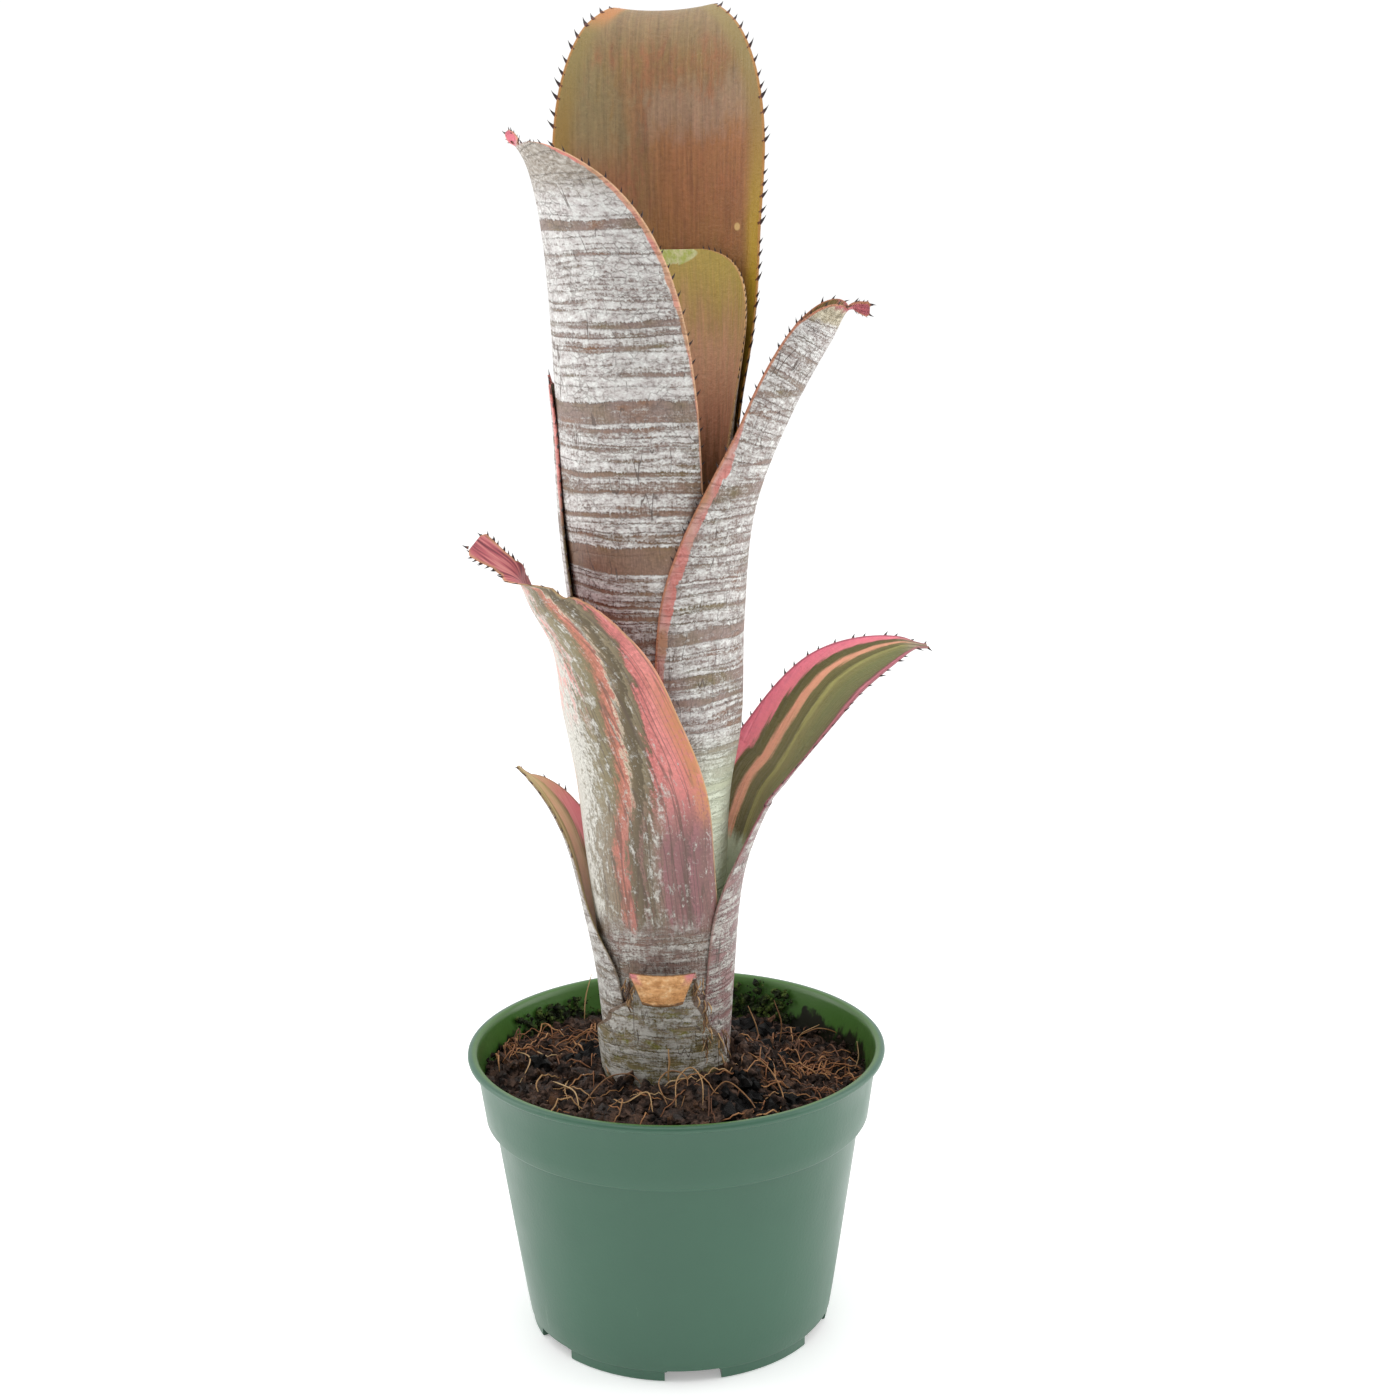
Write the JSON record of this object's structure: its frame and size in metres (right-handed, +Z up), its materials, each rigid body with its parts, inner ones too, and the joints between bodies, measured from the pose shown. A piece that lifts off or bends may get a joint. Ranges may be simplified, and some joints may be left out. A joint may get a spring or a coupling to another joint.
{
  "type": "potted billbergia vittata",
  "caption": "Bromeliad with a tall tube of spiny, silver-banded strap leaves, rooted in potting mix in a round green plastic nursery pot.",
  "frame": {"origin": "centre of the pot's floor boss, where the pot rests on the table", "axes": "+Z up along the pot's axis and the plant, -Y towards the viewer of the picture, +X to the right of the picture"},
  "size_m": [0.1719, 0.1524, 0.4735],
  "materials": {
    "pot_plastic": "satin",
    "potting_mix": "matte",
    "stem": "matte",
    "leaf_olive": "satin",
    "leaf_silver": "satin",
    "leaf_variegated": "satin",
    "leaf_striped": "satin"
  },
  "bodies": {
    "root": {"pot": "pot_plastic", "soil": "potting_mix", "crown": "stem", "leaf_back_tall": "leaf_olive", "leaf_front_left_tall": "leaf_silver", "leaf_inner": "leaf_olive", "leaf_right_front": "leaf_silver", "leaf_front_variegated": "leaf_variegated", "leaf_right_lower": "leaf_striped", "leaf_left_lower": "leaf_striped", "leaf_left_back": "leaf_silver", "leaf_stub": "leaf_variegated"}
  },
  "joints": []
}
